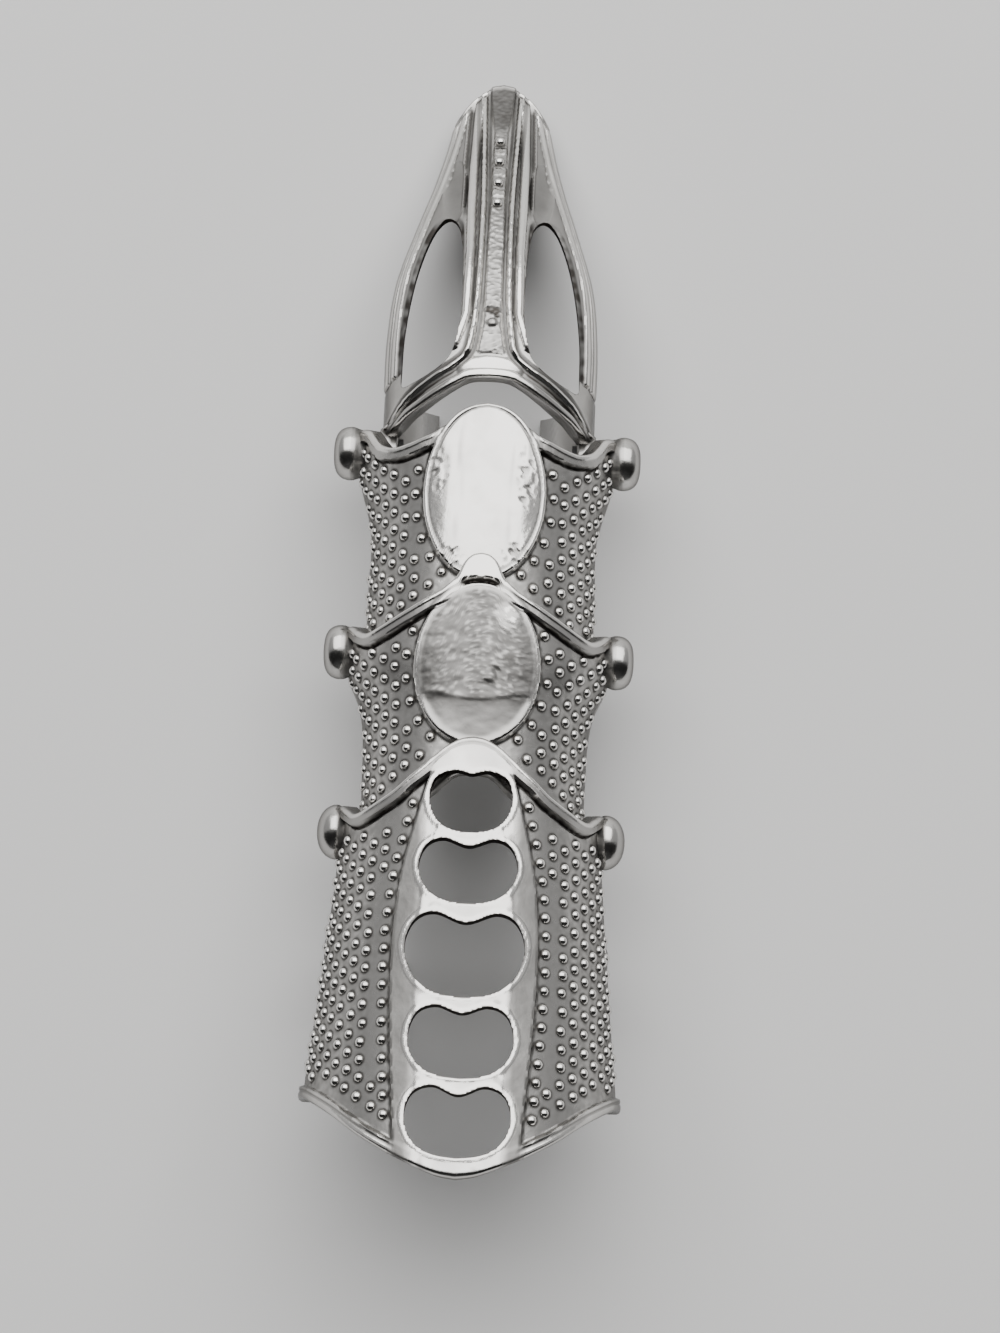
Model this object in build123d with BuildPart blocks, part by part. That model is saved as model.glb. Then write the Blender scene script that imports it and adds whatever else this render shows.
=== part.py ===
from build123d import *
import math
import os

# A jointed finger armour ring: four cast guards that overlap like a lobster's tail.
# Lengths in mm. X is across the finger, +Y towards the fingertip, +Z up.
# The tables give y from a point near the upper hinge of the lower plate, and
# mid_y moves the middle of the whole length over the origin.
mid_y = 2.40

ground_sink = 0.42      # beaded ground below the smooth raised bands, at the crest
ground_side = 0.22      # the same, at the sides
seat_sink = 0.80        # depth to which a raised band is rooted in the wall, at the crest
seat_side = 0.57        # the same, at the sides
wall = 1.05             # wall under the raised bands
wall_crest = 1.20       # the same, at the crest
end_stretch = 0.5       # how far the cutting lofts run past the ends
overshoot = 0.6         # how far a cutter or a raised strip runs past an outline
least_rise = 0.7        # lowest arch that a loft is given
skirt = 0.8             # straight side wall below the widest line
rim_width = 1.05        # raised rim along the front edge of a guard
rear_rim_width = 1.0    # the same, along the rear edge of the base
hoop_rim_width = 0.8    # the same, along the rear edge of the tip
ridge_width = 0.5       # thin raised lines of the tip
spine_half = 0.72       # half width of the raised strip down the middle of the tip
bore_gap = 0.05         # clearance all round a rivet
pin_radius = 0.70
pin_reach = 2.5         # from the ears' outer face into the knob
head_radius = 1.30
head_height = 0.35
ear_radius = 2.15
ear_wall = 1.45
knob_radius = 2.15
knob_round = 1.4
knob_root = 0.55        # where a knob starts, outside the ears' outer face
bead_radius = 0.42
bead_sunk = 0.10        # depth of a bead's middle below the ground
bead_pitch = 1.42       # along a column of beads
bead_step = 1.28        # between columns, round the finger
bead_gap = 0.70         # from a raised band to the middles of its first beads
bead_first = 0.45       # from the crest line to the first column
bead_edge_gap = 1.7     # from a guard's front and rear edges to the nearest beads
bead_cover_gap = 0.8    # from the edge of the guard that lies over it to the nearest beads
bead_wander = 0.07      # unevenness of the beads' places
bead_last_angle = 1.50  # no beads further round than this, in radians from the crest
band_line_start = -15.6 # y of the foremost bead beside the base's band
sheet_top = 30.0        # height of the upright cutters

# Open bands under the finger
band_root = 0.3         # how far a band reaches up into the side wall
base_band_front = -24.4
base_band_width = 4.7
base_band_center_z = 9.3
base_band_radius = 11.1
base_band_thickness = 1.1
base_gap_half = 5.45    # half the opening between the tab ends
tip_band_front = 20.8
tip_band_width = 4.0
tip_band_center_z = 6.85
tip_band_radius = 8.6
tip_band_thickness = 1.05
tip_gap_half = 4.7

# Smooth raised ovals: middle y, half width, half length
LOWER_OVAL = (-4.4, 4.8, 6.4)
UPPER_OVAL = (9.8, 4.7, 7.2)
# Raised lip on the beak of the lower plate: the same columns
BEAK_LIP = (3.55, 1.75, 1.15)

# hinge, y, z, outer face of the inner guard's ears, outermost point of the knob
HINGES = {
    "base": (-16.3, 9.6, 8.7, 11.95),
    "lower": (-1.65, 8.8, 8.8, 12.2),
    "upper": (15.0, 7.9, 8.6, 12.25),
}

# Sections across the finger: y, half width, crest z, z of the widest line
BASE_ROWS = [
    (-8.0, 10.1, 18.6, 8.65),
    (-16.3, 10.3, 19.35, 9.11),
    (-20.0, 10.5, 19.75, 9.31),
    (-25.0, 10.95, 20.4, 9.59),
    (-30.0, 11.4, 21.0, 9.87),
    (-37.0, 12.1, 21.7, 10.25),
    (-47.0, 12.9, 22.5, 10.80),
]
LOWER_ROWS = [
    (7.0, 10.4, 17.9, 7.82),
    (-1.65, 10.4, 17.9, 8.30),
    (-3.6, 10.3, 17.85, 8.41),
    (-6.0, 9.35, 17.75, 8.54),
    (-8.4, 8.95, 17.65, 8.67),
    (-12.0, 8.85, 17.45, 8.87),
    (-17.0, 8.75, 17.2, 9.15),
]
UPPER_ROWS = [
    (20.0, 10.3, 16.7, 7.10),
    (15.0, 10.3, 16.75, 7.38),
    (12.9, 10.2, 16.8, 7.49),
    (9.9, 9.4, 16.8, 7.66),
    (7.7, 9.05, 16.8, 7.78),
    (4.0, 9.1, 16.6, 7.98),
    (1.0, 9.1, 16.4, 8.15),
    (-3.0, 8.95, 16.2, 8.37),
]
TIP_ROWS = [
    (9.5, 8.55, 15.5, 7.1),
    (14.5, 8.6, 15.6, 7.1),
    (19.5, 8.62, 15.5, 7.0),
    (24.5, 8.6, 14.9, 6.85),
    (29.5, 8.1, 13.6, 6.4),
    (34.5, 6.75, 11.4, 5.3),
    (39.5, 5.35, 8.4, 3.5),
    (44.5, 4.3, 5.0, 1.6),
    (51.0, 3.2, 1.95, 0.75),
]

# y of the beads down the middle of the tip
SPINE_BEADS = (42.75, 40.36, 37.96, 35.73)

# Half outlines seen from above: x, y, from the middle outwards
BASE_FRONT = [(0, -10.4), (1.0, -10.6), (2.2, -11.3), (3.4, -12.4), (4.6, -13.4),
              (5.7, -14.4), (6.9, -15.15), (8.0, -15.7), (8.9, -15.85), (9.7, -15.4), (10.8, -14.7)]
BASE_REAR = [(0, -44.5), (1.8, -44.15), (4.6, -42.9), (7.2, -41.3), (9.3, -39.6), (11.3, -38.0),
             (13.5, -36.0)]
LOWER_FRONT = [(0, 4.4), (0.7, 4.2), (1.3, 3.6), (1.75, 2.65), (2.7, 1.63), (4.2, 0.78),
               (5.8, -0.12), (7.3, -0.9), (8.4, -1.25), (9.2, -0.75), (9.8, -0.05), (10.8, 0.4)]
UPPER_FRONT = [(0, 16.9), (1.3, 16.65), (2.4, 16.1), (3.3, 15.2), (4.0, 14.6), (4.9, 14.25),
               (5.9, 13.9), (7.0, 13.75), (8.0, 14.2), (8.6, 15.0), (9.3, 16.1), (10.8, 17.0)]
TIP_REAR = [(0, 19.35), (1.6, 19.25), (2.8, 18.75), (4.0, 18.1), (5.4, 17.3), (6.5, 16.7),
            (7.4, 16.1), (9.2, 15.6)]
TIP_NOSE = [(0, 49.3), (1.0, 49.05), (1.9, 48.4), (2.7, 47.6), (3.35, 46.7), (4.2, 45.6),
            (6.0, 44.0), (9.5, 41.0)]
# Hidden rear edge of the two middle plates: x, y from the hinge
PLATE_REAR = [(0, 3.4), (1.5, 3.2), (3.0, 2.0), (4.6, 0.9), (6.0, 0.0), (7.5, -0.9), (10.5, -1.9)]
# Thin ridge along the tip's spine and round its hoop, one side
RIDGE = [(1.5, 48.3), (1.3, 42.0), (1.15, 36.0), (1.15, 31.0), (1.25, 26.2), (1.6, 22.7), (2.05, 21.4),
         (3.1, 20.5), (4.35, 19.8), (5.6, 19.0), (6.65, 18.2), (7.4, 17.3), (8.0, 16.6)]
# Raised rim outside the ridge, beside the windows and on to the nose
OUTER_RIM = [(1.95, 47.9), (2.15, 46.0), (2.25, 40.0), (2.2, 34.0), (2.05, 31.0), (2.05, 25.5), (2.3, 23.6)]
# Raised central band of the base: half width, y
BASE_BAND = [(3.0, -11.2), (3.2, -13.4), (3.65, -15.3), (4.2, -17.6), (4.75, -20.0), (5.1, -22.3),
             (5.35, -25.5), (5.4, -29.0), (5.25, -33.0), (5.0, -37.0), (4.75, -40.4), (4.65, -43.2)]
# Kidney holes: half width, x and y of the upper lobes, y of the notch, widest y, lowest y
HOLES = [
    (3.14, 1.25, -13.15, -13.4, -15.3, -18.05),
    (3.73, 1.90, -18.50, -19.1, -20.6, -23.65),
    (4.50, 2.35, -24.30, -25.1, -26.9, -30.90),
    (3.95, 1.95, -31.50, -32.1, -34.0, -37.05),
    (3.96, 1.95, -37.60, -38.3, -39.9, -43.00),
]
# Teardrop window of the tip, one side: x, y round the outline
WINDOW = [(3.85, 34.6), (3.0, 33.6), (2.65, 31.5), (2.5, 28.5), (2.55, 24.5), (2.95, 22.2),
          (3.6, 21.0), (4.9, 20.1), (6.1, 19.6), (7.0, 19.6), (7.05, 21.5), (6.95, 24.5),
          (6.5, 28.0), (5.8, 31.2), (4.9, 33.7)]


def section(y):
    """Plane across the finger at y: sketch x is X, sketch y is Z, and it faces -Y."""
    return Plane(origin=(0, y - mid_y, 0), x_dir=(1, 0, 0), z_dir=(0, -1, 0))


def plan(z):
    """Level plane at height z whose sketch coordinates are the tables' x and y."""
    return Plane(origin=(0, -mid_y, z), x_dir=(1, 0, 0), z_dir=(0, 0, 1))


def side_plane(x):
    """Upright plane along the finger at x: sketch x is table y, sketch y is Z, and it faces +X."""
    return Plane(origin=(x, -mid_y, 0), x_dir=(0, 1, 0), z_dir=(1, 0, 0))


def arch_body(rows, sink, narrow, drop, stretch=0):
    """Solid arch lofted through the rows, its crest lowered by sink and its sides by narrow."""
    kept = [row for row in rows if row[2] - sink - row[3] > least_rise]
    middle_y = (kept[0][0] + kept[-1][0]) / 2
    with BuildPart() as body:
        for y, half_width, crest, axis_z in kept:
            if y in (kept[0][0], kept[-1][0]):
                y = y + math.copysign(stretch, y - middle_y)
            half = half_width - narrow
            rise = crest - sink - axis_z
            with BuildSketch(section(y)):
                with BuildLine():
                    Polyline((-half, axis_z), (-half, axis_z - drop), (half, axis_z - drop), (half, axis_z))
                    EllipticalCenterArc((0, axis_z), half, rise, start_angle=0, arc_size=180)
                make_face()
        loft(ruled=True)
    return body.part


def mirrored(points):
    """A half outline from the middle outwards, made whole from left to right."""
    left = [(-x, y) for x, y in reversed(points) if x > 0]
    return left + points


def strip(front, rear):
    """Upright slab between two smooth curves seen from above, each from left to right."""
    with BuildPart() as slab:
        with BuildSketch(plan(0)):
            with BuildLine():
                Spline(*front)
                Line(front[-1], rear[-1])
                Spline(*rear)
                Line(rear[0], front[0])
            make_face()
        extrude(amount=sheet_top)
    return slab.part


def closed_slab(points):
    """Upright slab inside a closed smooth curve seen from above."""
    with BuildPart() as slab:
        with BuildSketch(plan(0)):
            with BuildLine():
                Spline(*points, periodic=True)
            make_face()
        extrude(amount=sheet_top)
    return slab.part


def kidney(grow, half, lobe_x, lobe_y, notch_y, wide_y, low_y):
    """Outline of a kidney hole, let out by grow."""
    top = lobe_y + grow
    low = low_y - grow
    side = half + grow
    right = [
        (lobe_x, top),
        (0.86 * side, top - 0.25 * (top - wide_y)),
        (side, wide_y),
        (0.84 * side, wide_y - 0.58 * (wide_y - low)),
        (0.50 * side, wide_y - 0.90 * (wide_y - low)),
    ]
    left = [(-x, y) for x, y in reversed(right)]
    return [(0, notch_y + grow)] + right + [(0, low)] + left


def shifted(points, dy):
    return [(x, y + dy) for x, y in points]


def knob(hinge, sign):
    """Rounded boss on the outside of the wall, round the hinge axis."""
    y, z, ear_face, outermost = HINGES[hinge]
    inner = ear_face + knob_root
    height = outermost - inner
    with BuildPart() as boss:
        with BuildSketch(side_plane(sign * inner)):
            with Locations((y, z)):
                Circle(knob_radius)
        extrude(amount=sign * height)
        rim = boss.edges().filter_by(GeomType.CIRCLE).sort_by(Axis.X)
        fillet(rim[-1] if sign > 0 else rim[0], radius=knob_round)
    return boss.part


def disc(hinge, sign, inner, outer, radius):
    """Round plate about the hinge axis, from the inner to the outer distance in x."""
    y, z, ear_face, outermost = HINGES[hinge]
    with BuildPart() as plate:
        with BuildSketch(side_plane(sign * inner)):
            with Locations((y, z)):
                Circle(radius)
        extrude(amount=sign * (outer - inner))
    return plate.part


def band(y_front, width, center_z, outer_radius, thickness, open_half):
    """Open band under the finger, cut level at the bottom so that its tab ends stand on the ground."""
    beyond = 3 * outer_radius
    with BuildPart() as hoop:
        with BuildSketch(section(y_front)):
            with Locations((0, center_z)):
                Circle(outer_radius)
                Circle(outer_radius - thickness, mode=Mode.SUBTRACT)
            with Locations((0, center_z - band_root)):
                Rectangle(beyond, beyond, align=(Align.CENTER, Align.MIN), mode=Mode.SUBTRACT)
            Rectangle(2 * open_half, center_z, mode=Mode.SUBTRACT)
            Rectangle(beyond, beyond, align=(Align.CENTER, Align.MAX), mode=Mode.SUBTRACT)
        extrude(amount=width)
    return hoop.part


def row_at(rows, y):
    """Half width, crest z and z of the widest line at y, between the rows."""
    table = sorted(rows)
    below = [row for row in table if row[0] <= y][-1]
    above = [row for row in table if row[0] > y][0]
    share = (y - below[0]) / (above[0] - below[0])
    return [low + share * (high - low) for low, high in zip(below[1:], above[1:])]


def height_at(outline, x):
    """y of a half outline at x, between its points."""
    for (x0, y0), (x1, y1) in zip(outline, outline[1:]):
        if x0 <= x <= x1:
            return y0 + (x - x0) / (x1 - x0) * (y1 - y0)
    return outline[-1][1]


def bead_field(rows, y_low, y_high, first_line, allowed):
    """Angle and y of the beads on the right side: a line along the band, then staggered columns."""
    placed = []
    for x, y in first_line:
        half = row_at(rows, y)[0] - ground_side
        if x < half and allowed(x, y):
            placed.append((math.asin(x / half), y, half))
    along_band = list(placed)
    least_spacing = 0.86 * bead_step
    columns = int(math.pi / 2 * rows[0][1] / bead_step) + 3
    count = int((y_high - y_low) / bead_pitch) + 1
    for column in range(columns):
        for row in range(count):
            number = column * count + row
            y = y_low + (row + 0.5 * (column % 2)) * bead_pitch + bead_wander * math.sin(5.1 * number)
            half = row_at(rows, y)[0] - ground_side
            angle = (bead_first + column * bead_step + bead_wander * math.cos(3.7 * number)) / half
            x = half * math.sin(min(angle, math.pi / 2))
            if angle > bead_last_angle or not allowed(x, y):
                continue
            if all(math.hypot((angle - a) * half, y - b) > least_spacing for a, b, h in along_band):
                placed.append((angle, y, half))
    return placed


def bead_places(rows, field):
    """Places of the beads on both sides, a little below the beaded ground and square to it."""
    places = []
    for angle, y, half in field:
        crest, axis_z = row_at(rows, y)[1:]
        rise = crest - ground_sink - axis_z
        x = (half - bead_sunk) * math.sin(angle)
        z = axis_z + (rise - bead_sunk) * math.cos(angle)
        lean = math.degrees(math.atan2(math.sin(angle) / half, math.cos(angle) / rise))
        for sign in (-1, 1):
            places.append(Location((sign * x, y - mid_y, z), (0, sign * lean, 0)))
    return places


def oval_line(oval):
    """Points beside the right half of an oval, where its first beads go."""
    middle, half_width, half_length = oval
    reach = math.pi * (half_width + half_length) / 2
    count = int(reach / bead_pitch)
    points = []
    for k in range(count):
        turn = math.pi * (k + 0.5) / count
        x = (half_width + bead_gap) * math.sin(turn)
        points.append((x, middle + (half_length + bead_gap) * math.cos(turn)))
    return points


def beside_oval(oval, x, y):
    """True where a bead clears the oval."""
    middle, half_width, half_length = oval
    return (x / (half_width + bead_gap)) ** 2 + ((y - middle) / (half_length + bead_gap)) ** 2 > 0.98


def guard_shell(rows, outline, bands, extra_cuts):
    """Arched wall with its bands raised, trimmed to the outline seen from above."""
    outer = arch_body(rows, 0, 0, skirt)
    ground = arch_body(rows, ground_sink, ground_side, skirt)
    seat = arch_body(rows, seat_sink, seat_side, 2 * skirt, end_stretch)
    hollow = arch_body(rows, wall_crest, wall, 4 * skirt, end_stretch)
    raised = (outer - seat) & bands
    shell = (ground - hollow) + raised
    shell = shell & outline
    for cut in extra_cuts:
        shell = shell - cut
    return shell


def cast(name, shell, own_hinge, next_hinge, hoop, beads):
    """The shell with its beads, knobs, rear ears and open band, drilled for the rivets."""
    bore = pin_radius + bore_gap
    with BuildPart() as casting:
        add(shell)
        with Locations(*beads):
            Sphere(bead_radius)
        if hoop:
            add(hoop)
        if own_hinge:
            face = HINGES[own_hinge][2]
            for sign in (-1, 1):
                add(disc(own_hinge, sign, face - ear_wall, face, ear_radius))
        if next_hinge:
            for sign in (-1, 1):
                add(knob(next_hinge, sign))
        if own_hinge:
            face = HINGES[own_hinge][2]
            for sign in (-1, 1):
                drill = disc(own_hinge, sign, face - 2 * ear_wall, face + ear_wall, bore)
                add(drill, mode=Mode.SUBTRACT)
        if next_hinge:
            face = HINGES[next_hinge][2]
            for sign in (-1, 1):
                drill = disc(next_hinge, sign, face, face + pin_reach, bore)
                add(drill, mode=Mode.SUBTRACT)
    casting.part.label = name
    return casting.part


def rivet(name, hinge, sign):
    """Plain pin with a flat head inside the finger hole."""
    face = HINGES[hinge][2]
    head_from = face - ear_wall - bore_gap - head_height
    with BuildPart() as pin:
        add(disc(hinge, sign, head_from, head_from + head_height, head_radius))
        add(disc(hinge, sign, head_from + 0.5 * head_height, face + pin_reach - bore_gap, pin_radius))
    pin.part.label = name
    return pin.part


def rear_line(hinge_y):
    """Hidden rear edge of a plate: the roof stops ahead of the hinge and the sides reach back to it."""
    return mirrored([(x, hinge_y + dy) for x, dy in PLATE_REAR])


def band_half(y):
    """Half width of the base's raised band at y."""
    return height_at([(row_y, half) for half, row_y in reversed(BASE_BAND)], y)


def base_allowed(x, y):
    rear_limit = height_at(BASE_REAR, x) + bead_edge_gap
    front_limit = height_at(BASE_FRONT, x) - bead_edge_gap
    return x > band_half(y) + 0.9 * bead_gap and rear_limit < y < front_limit


def lower_allowed(x, y):
    rear_limit = height_at(BASE_FRONT, x) + bead_cover_gap
    front_limit = height_at(LOWER_FRONT, x) - bead_edge_gap
    return rear_limit < y < front_limit and beside_oval(LOWER_OVAL, x, y)


def upper_allowed(x, y):
    rear_limit = height_at(LOWER_FRONT, x) + bead_cover_gap
    front_limit = height_at(UPPER_FRONT, x) - bead_edge_gap
    return rear_limit < y < front_limit and beside_oval(UPPER_OVAL, x, y)


os.makedirs("parts", exist_ok=True)

# Base guard: central band, lip and rims raised, five holes cut through
front = mirrored(BASE_FRONT)
rear = mirrored(BASE_REAR)
band_left = [(-x, y) for x, y in BASE_BAND]
with BuildPart() as raised_base:
    with BuildSketch(plan(0)):
        with BuildLine():
            Spline(*BASE_BAND)
            Line(BASE_BAND[-1], band_left[-1])
            Spline(*reversed(band_left))
            Line(band_left[0], BASE_BAND[0])
        make_face()
    extrude(amount=sheet_top)
    add(strip(shifted(front, overshoot), shifted(front, -rim_width)))
    add(strip(shifted(rear, rear_rim_width), shifted(rear, -overshoot)))
cuts = [closed_slab(kidney(0, *hole)) for hole in HOLES]
shell = guard_shell(BASE_ROWS, strip(front, rear), raised_base.part, cuts)
count = int((band_line_start - BASE_BAND[-1][1]) / bead_pitch)
line_y = [band_line_start - number * bead_pitch for number in range(count + 1)]
band_line = [(band_half(y) + bead_gap, y) for y in line_y]
field = bead_field(BASE_ROWS, -44.0, -14.0, band_line, base_allowed)
hoop = band(base_band_front, base_band_width, base_band_center_z, base_band_radius, base_band_thickness,
            base_gap_half)
base_guard = cast("base_guard", shell, None, "base", hoop, bead_places(BASE_ROWS, field))
export_step(base_guard, "parts/base_guard.step")

# Lower plate: oval, beak lip and front rim raised
front = mirrored(LOWER_FRONT)
with BuildPart() as raised_lower:
    for middle, half_width, half_length in (LOWER_OVAL, BEAK_LIP):
        with BuildSketch(plan(0)):
            with Locations((0, middle)):
                Ellipse(half_width, half_length)
        extrude(amount=sheet_top)
    add(strip(shifted(front, overshoot), shifted(front, -rim_width)))
shell = guard_shell(LOWER_ROWS, strip(front, rear_line(HINGES["base"][0])), raised_lower.part, [])
field = bead_field(LOWER_ROWS, -16.4, 4.0, oval_line(LOWER_OVAL), lower_allowed)
lower_plate = cast("lower_plate", shell, "base", "lower", None, bead_places(LOWER_ROWS, field))
export_step(lower_plate, "parts/lower_plate.step")

# Upper plate: oval and front rim raised
front = mirrored(UPPER_FRONT)
with BuildPart() as raised_upper:
    middle, half_width, half_length = UPPER_OVAL
    with BuildSketch(plan(0)):
        with Locations((0, middle)):
            Ellipse(half_width, half_length)
    extrude(amount=sheet_top)
    add(strip(shifted(front, overshoot), shifted(front, -rim_width)))
shell = guard_shell(UPPER_ROWS, strip(front, rear_line(HINGES["lower"][0])), raised_upper.part, [])
field = bead_field(UPPER_ROWS, -2.6, 17.0, oval_line(UPPER_OVAL), upper_allowed)
upper_plate = cast("upper_plate", shell, "lower", "upper", None, bead_places(UPPER_ROWS, field))
export_step(upper_plate, "parts/upper_plate.step")

# Tip guard: spine strip, ridges and hoop raised, two windows cut through, four beads on the spine
lines = []
for sign in (-1, 1):
    for table in (RIDGE, OUTER_RIM):
        with BuildPart() as line:
            with BuildSketch(plan(0)):
                with BuildLine():
                    Spline(*[(sign * x, y) for x, y in table])
                trace(line_width=ridge_width)
            extrude(amount=sheet_top)
        lines.append(line.part)
nose = mirrored(TIP_NOSE)
rear = mirrored(TIP_REAR)
windows = [closed_slab([(sign * x, y) for x, y in WINDOW]) for sign in (-1, 1)]
with BuildPart() as raised_tip:
    with BuildSketch(plan(0)):
        with Locations((0, TIP_NOSE[0][1])):
            Rectangle(2 * spine_half, TIP_NOSE[0][1] - TIP_REAR[0][1], align=(Align.CENTER, Align.MAX))
    extrude(amount=sheet_top)
    for line in lines:
        add(line)
    add(strip(shifted(rear, hoop_rim_width), shifted(rear, -overshoot)))
shell = guard_shell(TIP_ROWS, strip(nose, rear), raised_tip.part, windows)
spine_beads = [Location((0, y - mid_y, row_at(TIP_ROWS, y)[1])) for y in SPINE_BEADS]
hoop = band(tip_band_front, tip_band_width, tip_band_center_z, tip_band_radius, tip_band_thickness,
            tip_gap_half)
tip_guard = cast("tip_guard", shell, "upper", None, hoop, spine_beads)
export_step(tip_guard, "parts/tip_guard.step")

# Rivets
for hinge in HINGES:
    for side, sign in (("left", -1), ("right", 1)):
        name = "rivet_" + hinge + "_" + side
        pin = rivet(name, hinge, sign)
        export_step(pin, "parts/" + name + ".step")
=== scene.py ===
import math
import bpy
import bmesh
import numpy as np
from mathutils import Matrix, Vector, kdtree, noise


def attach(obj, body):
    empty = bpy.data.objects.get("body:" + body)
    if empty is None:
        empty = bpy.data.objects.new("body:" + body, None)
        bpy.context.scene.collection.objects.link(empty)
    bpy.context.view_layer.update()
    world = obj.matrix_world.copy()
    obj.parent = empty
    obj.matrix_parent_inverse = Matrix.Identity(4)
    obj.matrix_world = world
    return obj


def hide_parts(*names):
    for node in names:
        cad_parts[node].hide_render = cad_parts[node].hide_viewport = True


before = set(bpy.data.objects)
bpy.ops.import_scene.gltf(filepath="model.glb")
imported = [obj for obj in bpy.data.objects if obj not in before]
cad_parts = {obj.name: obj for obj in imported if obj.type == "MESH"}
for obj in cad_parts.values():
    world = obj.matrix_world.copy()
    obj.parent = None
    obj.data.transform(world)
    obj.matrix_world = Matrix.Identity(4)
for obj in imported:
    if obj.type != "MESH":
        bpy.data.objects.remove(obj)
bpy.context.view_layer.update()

MM = 0.001
MID_Y = 2.40            # the tables' y is this much ahead of the frame's
GROUND_SINK = 0.42      # beaded ground below the raised bands, at the crest
GROUND_SIDE = 0.22      # the same, at the sides
WALL = 1.05
WALL_CREST = 1.20
SKIRT = 0.8
BEAD_R = 0.42
BEAD_SUNK = 0.10        # depth of a bead's middle below the ground
BEAD_PITCH = 1.42       # along a column of beads
BEAD_STEP = 1.28        # between columns, round the finger
BEAD_GAP = 0.70         # from a raised band to the middles of its first beads
BEAD_FIRST = 0.45       # from the crest line to the first column
BEAD_EDGE_GAP = 1.7     # from a guard's front and rear edges to the nearest beads
BEAD_COVER_GAP = 0.8    # from the edge of the guard that lies over it to the nearest beads
BEAD_WANDER = 0.07      # unevenness of the beads' places
BEAD_LAST_ANGLE = 1.50  # no beads further round than this, in radians from the crest
BAND_LINE_START = -15.6
RIM = 1.05              # width of the raised rim along a front edge
KNOB_R = 2.15
KNOB_ROOT = 0.55        # where a knob starts, outside the ears' outer face
KNOB_CAP = 1.75         # length of its rounded cap
KNOB_RINGS = 18
KNOB_ROUND = {"base": 1.1, "lower": 1.45, "upper": 1.45}    # 1 is a half ellipsoid, more is squarer
EAR_R = 2.15
EAR_WALL = 1.45
EAR_SOFT = 0.12         # rounding of an ear's rim
BORE_R = 0.75
EDGE_ROUND = 0.32       # rounding of the guards' edges
SHARP_ANGLE = 50        # edges sharper than this many degrees stay sharp
INSIDE_STRIDE = 5       # the plain inside takes every fifth line of the outside's grid
INSIDE_WEAR = 0.45
fine = 1.0     # share of the grids' lines that is made

# Smooth raised ovals: middle y, half width, half length
LOWER_OVAL = (-4.4, 4.8, 6.4)
UPPER_OVAL = (9.8, 4.7, 7.2)
SPINE_BEADS = (42.75, 40.36, 37.96, 35.73)
SPINE_BEAD_X = -0.05
SPINE_COLLARS = (41.6, 39.2, 36.8)      # small raised patches between them

# hinge: y, z, outer face of the inner guard's ears, outermost point of the knob
HINGES = {
    "base": (-16.3, 9.6, 8.7, 11.95),
    "lower": (-1.65, 8.8, 8.8, 12.2),
    "upper": (15.0, 7.9, 8.6, 12.25),
}
# y, half width, crest z, z of the widest line
BASE_ROWS = [
    (-8.0, 10.1, 18.6, 8.65), (-16.3, 10.3, 19.35, 9.11), (-20.0, 10.5, 19.75, 9.31),
    (-25.0, 10.95, 20.4, 9.59), (-30.0, 11.4, 21.0, 9.87), (-37.0, 12.1, 21.7, 10.25),
    (-47.0, 12.9, 22.5, 10.80)]
LOWER_ROWS = [
    (7.0, 10.4, 17.9, 7.82), (-1.65, 10.4, 17.9, 8.30), (-3.6, 10.3, 17.85, 8.41), (-6.0, 9.35, 17.75, 8.54),
    (-8.4, 8.95, 17.65, 8.67), (-12.0, 8.85, 17.45, 8.87), (-17.0, 8.75, 17.2, 9.15)]
UPPER_ROWS = [
    (20.0, 10.3, 16.7, 7.10), (15.0, 10.3, 16.75, 7.38), (12.9, 10.2, 16.8, 7.49), (9.9, 9.4, 16.8, 7.66),
    (7.7, 9.05, 16.8, 7.78), (4.0, 9.1, 16.6, 7.98), (1.0, 9.1, 16.4, 8.15), (-3.0, 8.95, 16.2, 8.37)]
TIP_ROWS = [
    (9.5, 8.55, 15.5, 7.1), (14.5, 8.6, 15.6, 7.1), (19.5, 8.62, 15.5, 7.0), (24.5, 8.6, 14.9, 6.85),
    (29.5, 8.1, 13.6, 6.4), (34.5, 6.75, 11.4, 5.3), (39.5, 5.35, 8.4, 3.5), (44.5, 4.3, 5.0, 1.6),
    (51.0, 3.2, 1.95, 0.75)]
# open bands under the finger: front y, width, centre z, outer radius, thickness, half the gap in it
BASE_OPEN_BAND = (-24.4, 4.7, 9.3, 11.1, 1.1, 5.45)
TIP_OPEN_BAND = (20.8, 4.0, 6.85, 8.6, 1.05, 4.7)
# lines of each guard's grid: along, around
GRIDS = {
    "base_shell": (230, 250),
    "lower_shell": (170, 230),
    "upper_shell": (160, 230),
    "tip_shell": (320, 250),
}
# marks in the castings: x, y, radius, stretch across, stretch along
LOWER_LUMP = (1.0, -5.3, 0.55, 1, 1)
LOWER_DIMPLE = (1.45, -5.0, 0.35, 1, 1)
LOWER_BLOB = (2.2, -0.6, 1.0, 1, 1.3)
UPPER_LEFT_PITS = (-3.5, 11.4, 0.8, 1, 2.4)
UPPER_RIGHT_PITS = (3.1, 11.0, 0.8, 1, 3.4)
UPPER_REAR_PITS = (2.4, 4.6, 1.1, 1, 1)
TIP_WEB = (3.55, 37.6, 1.0, 1, 3.6)
TIP_HOOP_MIDDLE = (0, 20.2, 1.0, 2.6, 1.15)
TIP_LUMP = (0, 24.1, 0.42, 1, 0.9)
TIP_PIT = (0.35, 24.85, 0.26, 1, 1)
TIP_HOLLOW = (0, 25.3, 1.0, 0.8, 0.35)
# half outlines seen from above: x, y
BASE_FRONT = [(0, -10.4), (1.0, -10.6), (2.2, -11.3), (3.4, -12.4), (4.6, -13.4),
              (5.7, -14.4), (6.9, -15.15), (8.0, -15.7), (8.9, -15.85), (9.7, -15.4), (10.8, -14.7)]
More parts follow.
